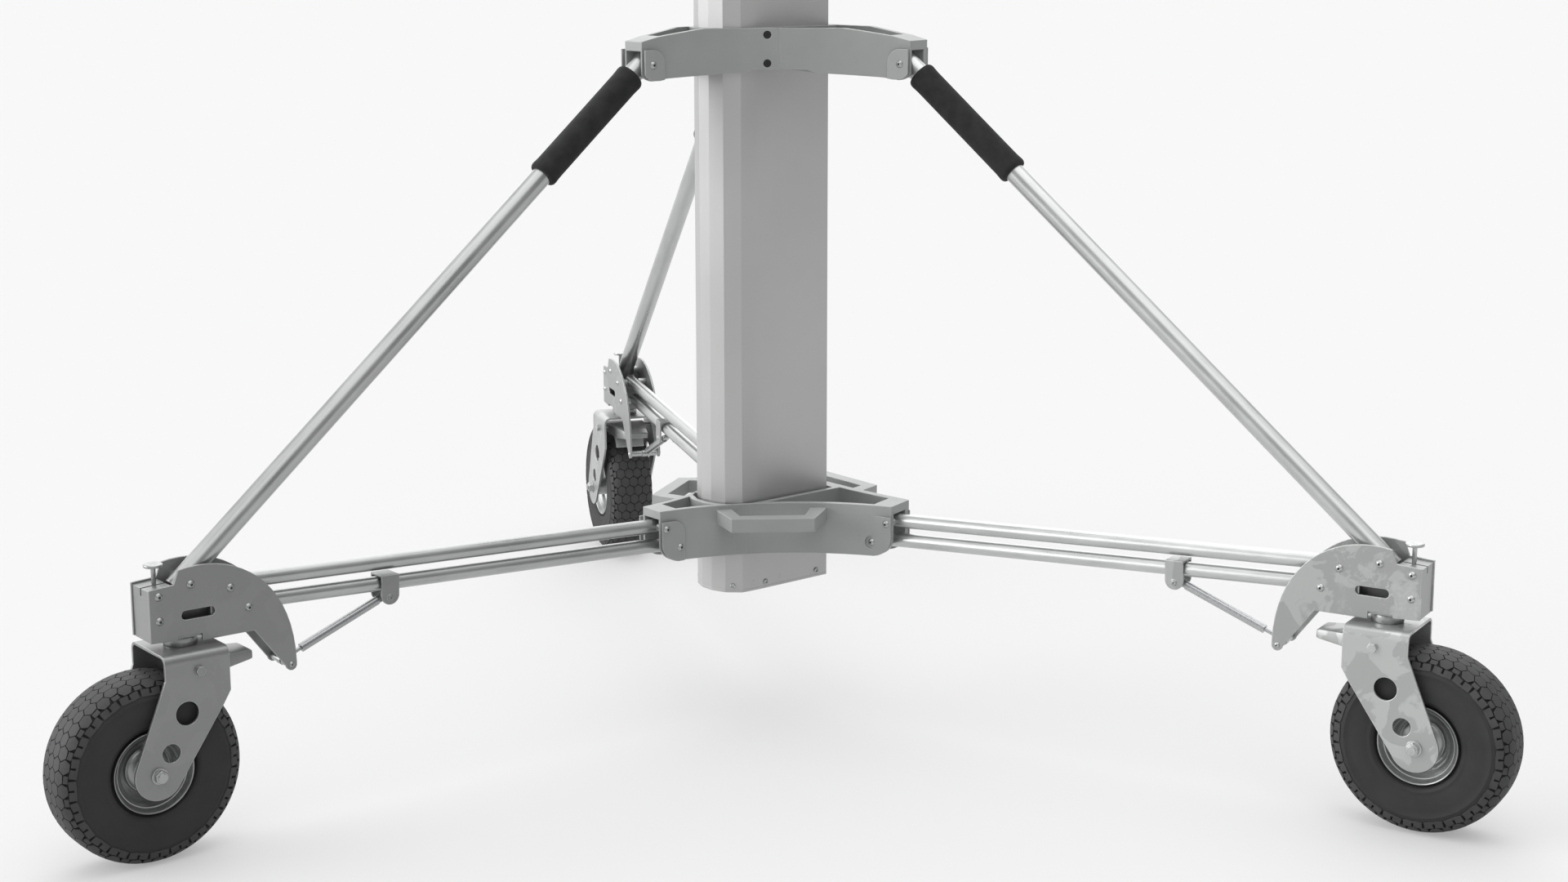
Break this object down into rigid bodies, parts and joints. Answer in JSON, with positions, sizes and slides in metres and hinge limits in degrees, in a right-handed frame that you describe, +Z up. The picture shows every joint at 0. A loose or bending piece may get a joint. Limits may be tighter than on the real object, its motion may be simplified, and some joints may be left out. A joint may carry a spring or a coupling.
{
  "type": "roller stand for lights",
  "caption": "Roller stand for heavy lights: telescoping column with a winch, braced folding legs and braked pneumatic swivel casters.",
  "frame": {"origin": "on the floor at the centre of the stand's footprint box", "axes": "+Z up, +X along the front leg, the stand is mirror-symmetric about the XZ plane except for its crank"},
  "size_m": [1.6555, 2.2414, 1.928],
  "materials": {
    "column_aluminium": "satin anodised",
    "grey_casting": "satin grey paint",
    "zinc_tube": "bright satin zinc",
    "galvanised": "zinc plated, mottled",
    "cast_block": "satin",
    "bright_bolt": "polished",
    "strut_steel": "satin",
    "foam": "matte foam",
    "tyre_rubber": "matte",
    "black_plastic": "matte",
    "dark_casting": "satin dark grey paint"
  },
  "bodies": {
    "column": {"column": "column_aluminium", "column_foot": "black_plastic", "column_cap": "dark_casting", "lower_collar": "grey_casting", "upper_collar_front": "grey_casting", "upper_collar_rear": "grey_casting", "collar_bolts": "bright_bolt", "winch": "dark_casting"},
    "mast_lower": {"mast_lower": "column_aluminium"},
    "mast_upper": {"mast_upper": "column_aluminium", "head": "dark_casting"},
    "crank": {"crank": "galvanised"},
    "leg1_upper_bar": {"leg1_upper_bar": "zinc_tube"},
    "leg1_lower_bar": {"leg1_lower_bar": "zinc_tube", "leg1_strut_clamp": "galvanised"},
    "leg1_bracket": {"leg1_bracket_plates": "galvanised", "leg1_bracket_block": "cast_block", "leg1_bracket_bolts": "bright_bolt"},
    "leg1_brace": {"leg1_brace_tube": "zinc_tube", "leg1_brace_grip": "foam"},
    "leg1_pull_pin": {"leg1_pull_pin": "bright_bolt"},
    "leg1_strut_rod": {"leg1_strut_rod": "strut_steel"},
    "leg1_strut_cylinder": {"leg1_strut_cylinder": "strut_steel"},
    "leg1_fork": {"leg1_caster_fork": "galvanised", "leg1_axle": "bright_bolt"},
    "leg1_pedal": {"leg1_brake_pedal": "galvanised"},
    "leg1_wheel": {"leg1_rim": "galvanised", "leg1_tyre": "tyre_rubber"},
    "leg2_upper_bar": {"leg2_upper_bar": "zinc_tube"},
    "leg2_lower_bar": {"leg2_lower_bar": "zinc_tube", "leg2_strut_clamp": "galvanised"},
    "leg2_bracket": {"leg2_bracket_plates": "galvanised", "leg2_bracket_block": "cast_block", "leg2_bracket_bolts": "bright_bolt"},
    "leg2_brace": {"leg2_brace_tube": "zinc_tube", "leg2_brace_grip": "foam"},
    "leg2_pull_pin": {"leg2_pull_pin": "bright_bolt"},
    "leg2_strut_rod": {"leg2_strut_rod": "strut_steel"},
    "leg2_strut_cylinder": {"leg2_strut_cylinder": "strut_steel"},
    "leg2_fork": {"leg2_caster_fork": "galvanised", "leg2_axle": "bright_bolt"},
    "leg2_pedal": {"leg2_brake_pedal": "galvanised"},
    "leg2_wheel": {"leg2_rim": "galvanised", "leg2_tyre": "tyre_rubber"},
    "leg3_upper_bar": {"leg3_upper_bar": "zinc_tube"},
    "leg3_lower_bar": {"leg3_lower_bar": "zinc_tube", "leg3_strut_clamp": "galvanised"},
    "leg3_bracket": {"leg3_bracket_plates": "galvanised", "leg3_bracket_block": "cast_block", "leg3_bracket_bolts": "bright_bolt"},
    "leg3_brace": {"leg3_brace_tube": "zinc_tube", "leg3_brace_grip": "foam"},
    "leg3_pull_pin": {"leg3_pull_pin": "bright_bolt"},
    "leg3_strut_rod": {"leg3_strut_rod": "strut_steel"},
    "leg3_strut_cylinder": {"leg3_strut_cylinder": "strut_steel"},
    "leg3_fork": {"leg3_caster_fork": "galvanised", "leg3_axle": "bright_bolt"},
    "leg3_pedal": {"leg3_brake_pedal": "galvanised"},
    "leg3_wheel": {"leg3_rim": "galvanised", "leg3_tyre": "tyre_rubber"}
  },
  "joints": [
    {"name": "mast_lower_slide", "type": "slide", "parent": "column", "child": "mast_lower", "axis": [0, 0, 1], "range_m": [0, 1.15]},
    {"name": "mast_upper_slide", "type": "slide", "parent": "mast_lower", "child": "mast_upper", "axis": [0, 0, 1], "range_m": [0, 1.15]},
    {"name": "winch_crank", "type": "hinge", "parent": "column", "child": "crank", "pos_m": [-0.482, 0, 1.29], "axis": [0, -1, 0], "range_deg": [0, 2640]},
    {"name": "leg1_fold", "type": "hinge", "parent": "column", "child": "leg1_upper_bar", "pos_m": [-0.1435, 0, 0.332], "axis": [0, 1, 0], "range_deg": [0, 50]},
    {"name": "leg1_lower_bar_hinge", "type": "hinge", "parent": "column", "child": "leg1_lower_bar", "pos_m": [-0.1688, 0, 0.3004], "axis": [0, 1, 0], "range_deg": [0, 50]},
    {"name": "leg1_bracket_hinge", "type": "hinge", "parent": "leg1_upper_bar", "child": "leg1_bracket", "pos_m": [0.5745, 0, 0.3625], "axis": [0, 1, 0], "range_deg": [-50, 0]},
    {"name": "leg1_brace_hinge", "type": "hinge", "parent": "column", "child": "leg1_brace", "pos_m": [-0.1275, 0, 1.033], "axis": [0, 1, 0], "range_deg": [0, 30]},
    {"name": "leg1_pull_pin_slide", "type": "slide", "parent": "leg1_bracket", "child": "leg1_pull_pin", "axis": [0, 0, 1], "range_m": [0, 0.012]},
    {"name": "leg1_strut_hinge", "type": "hinge", "parent": "leg1_bracket", "child": "leg1_strut_rod", "pos_m": [0.4895, 0, 0.2385], "axis": [0, 1, 0], "range_deg": [0, 46.2]},
    {"name": "leg1_strut_slide", "type": "slide", "parent": "leg1_strut_rod", "child": "leg1_strut_cylinder", "axis": [-0.9312, 0, 0.3644], "range_m": [0, 0.0952]},
    {"name": "leg1_swivel", "type": "hinge", "parent": "leg1_bracket", "child": "leg1_fork", "pos_m": [0.637, 0, 0.3], "axis": [0, 0, 1], "continuous": true},
    {"name": "leg1_brake", "type": "hinge", "parent": "leg1_fork", "child": "leg1_pedal", "pos_m": [0.635, 0, 0.264], "axis": [0, -1, 0], "range_deg": [0, 8]},
    {"name": "leg1_wheel_spin", "type": "hinge", "parent": "leg1_fork", "child": "leg1_wheel", "pos_m": [0.6995, 0, 0.13], "axis": [0, 1, 0], "continuous": true},
    {"name": "leg2_fold", "type": "hinge", "parent": "column", "child": "leg2_upper_bar", "pos_m": [-0.45697, 0.20049, 0.332], "axis": [-0.9382, -0.3461, 0], "range_deg": [0, 50]},
    {"name": "leg2_lower_bar_hinge", "type": "hinge", "parent": "column", "child": "leg2_lower_bar", "pos_m": [-0.44821, 0.17675, 0.3004], "axis": [-0.9382, -0.3461, 0], "range_deg": [0, 50]},
    {"name": "leg2_bracket_hinge", "type": "hinge", "parent": "leg2_upper_bar", "child": "leg2_bracket", "pos_m": [-0.70548, 0.87411, 0.3625], "axis": [-0.9382, -0.3461, 0], "range_deg": [-50, 0]},
    {"name": "leg2_brace_hinge", "type": "hinge", "parent": "column", "child": "leg2_brace", "pos_m": [-0.4625, 0.2155, 1.033], "axis": [-0.9382, -0.3461, 0], "range_deg": [0, 30]},
    {"name": "leg2_pull_pin_slide", "type": "slide", "parent": "leg2_bracket", "child": "leg2_pull_pin", "axis": [0, 0, 1], "range_m": [0, 0.012]},
    {"name": "leg2_strut_hinge", "type": "hinge", "parent": "leg2_bracket", "child": "leg2_strut_rod", "pos_m": [-0.67606, 0.79437, 0.2385], "axis": [-0.9382, -0.3461, 0], "range_deg": [0, 46.2]},
    {"name": "leg2_strut_slide", "type": "slide", "parent": "leg2_strut_rod", "child": "leg2_strut_cylinder", "axis": [0.3223, -0.8737, 0.3644], "range_m": [0, 0.0952]},
    {"name": "leg2_swivel", "type": "hinge", "parent": "leg2_bracket", "child": "leg2_fork", "pos_m": [-0.72711, 0.93275, 0.3], "axis": [0, 0, 1], "continuous": true},
    {"name": "leg2_brake", "type": "hinge", "parent": "leg2_fork", "child": "leg2_pedal", "pos_m": [-0.72642, 0.93087, 0.264], "axis": [0.9382, 0.3461, 0], "range_deg": [0, 8]},
    {"name": "leg2_wheel_spin", "type": "hinge", "parent": "leg2_fork", "child": "leg2_wheel", "pos_m": [-0.74874, 0.99139, 0.13], "axis": [-0.9382, -0.3461, 0], "continuous": true},
    {"name": "leg3_fold", "type": "hinge", "parent": "column", "child": "leg3_upper_bar", "pos_m": [-0.45697, -0.20049, 0.332], "axis": [0.9382, -0.3461, 0], "range_deg": [0, 50]},
    {"name": "leg3_lower_bar_hinge", "type": "hinge", "parent": "column", "child": "leg3_lower_bar", "pos_m": [-0.44821, -0.17675, 0.3004], "axis": [0.9382, -0.3461, 0], "range_deg": [0, 50]},
    {"name": "leg3_bracket_hinge", "type": "hinge", "parent": "leg3_upper_bar", "child": "leg3_bracket", "pos_m": [-0.70548, -0.87411, 0.3625], "axis": [0.9382, -0.3461, 0], "range_deg": [-50, 0]},
    {"name": "leg3_brace_hinge", "type": "hinge", "parent": "column", "child": "leg3_brace", "pos_m": [-0.4625, -0.2155, 1.033], "axis": [0.9382, -0.3461, 0], "range_deg": [0, 30]},
    {"name": "leg3_pull_pin_slide", "type": "slide", "parent": "leg3_bracket", "child": "leg3_pull_pin", "axis": [0, 0, 1], "range_m": [0, 0.012]},
    {"name": "leg3_strut_hinge", "type": "hinge", "parent": "leg3_bracket", "child": "leg3_strut_rod", "pos_m": [-0.67606, -0.79437, 0.2385], "axis": [0.9382, -0.3461, 0], "range_deg": [0, 46.2]},
    {"name": "leg3_strut_slide", "type": "slide", "parent": "leg3_strut_rod", "child": "leg3_strut_cylinder", "axis": [0.3223, 0.8737, 0.3644], "range_m": [0, 0.0952]},
    {"name": "leg3_swivel", "type": "hinge", "parent": "leg3_bracket", "child": "leg3_fork", "pos_m": [-0.72711, -0.93275, 0.3], "axis": [0, 0, 1], "continuous": true},
    {"name": "leg3_brake", "type": "hinge", "parent": "leg3_fork", "child": "leg3_pedal", "pos_m": [-0.72642, -0.93087, 0.264], "axis": [-0.9382, 0.3461, 0], "range_deg": [0, 8]},
    {"name": "leg3_wheel_spin", "type": "hinge", "parent": "leg3_fork", "child": "leg3_wheel", "pos_m": [-0.74874, -0.99139, 0.13], "axis": [0.9382, -0.3461, 0], "continuous": true}
  ],
  "couplings": [
    {"joint": "mast_upper_slide", "follows": "mast_lower_slide", "ratio": 1},
    {"joint": "winch_crank", "follows": "mast_lower_slide", "rad_per_m": 40},
    {"joint": "leg1_lower_bar_hinge", "follows": "leg1_fold", "ratio": 1},
    {"joint": "leg1_bracket_hinge", "follows": "leg1_fold", "ratio": -1},
    {"joint": "leg1_brace_hinge", "follows": "leg1_fold", "ratio": 0.53},
    {"joint": "leg1_strut_hinge", "follows": "leg1_fold", "ratio": 0.905},
    {"joint": "leg1_strut_slide", "follows": "leg1_fold", "m_per_rad": 0.108},
    {"joint": "leg2_lower_bar_hinge", "follows": "leg2_fold", "ratio": 1},
    {"joint": "leg2_bracket_hinge", "follows": "leg2_fold", "ratio": -1},
    {"joint": "leg2_brace_hinge", "follows": "leg2_fold", "ratio": 0.53},
    {"joint": "leg2_strut_hinge", "follows": "leg2_fold", "ratio": 0.905},
    {"joint": "leg2_strut_slide", "follows": "leg2_fold", "m_per_rad": 0.108},
    {"joint": "leg3_lower_bar_hinge", "follows": "leg3_fold", "ratio": 1},
    {"joint": "leg3_bracket_hinge", "follows": "leg3_fold", "ratio": -1},
    {"joint": "leg3_brace_hinge", "follows": "leg3_fold", "ratio": 0.53},
    {"joint": "leg3_strut_hinge", "follows": "leg3_fold", "ratio": 0.905},
    {"joint": "leg3_strut_slide", "follows": "leg3_fold", "m_per_rad": 0.108}
  ]
}
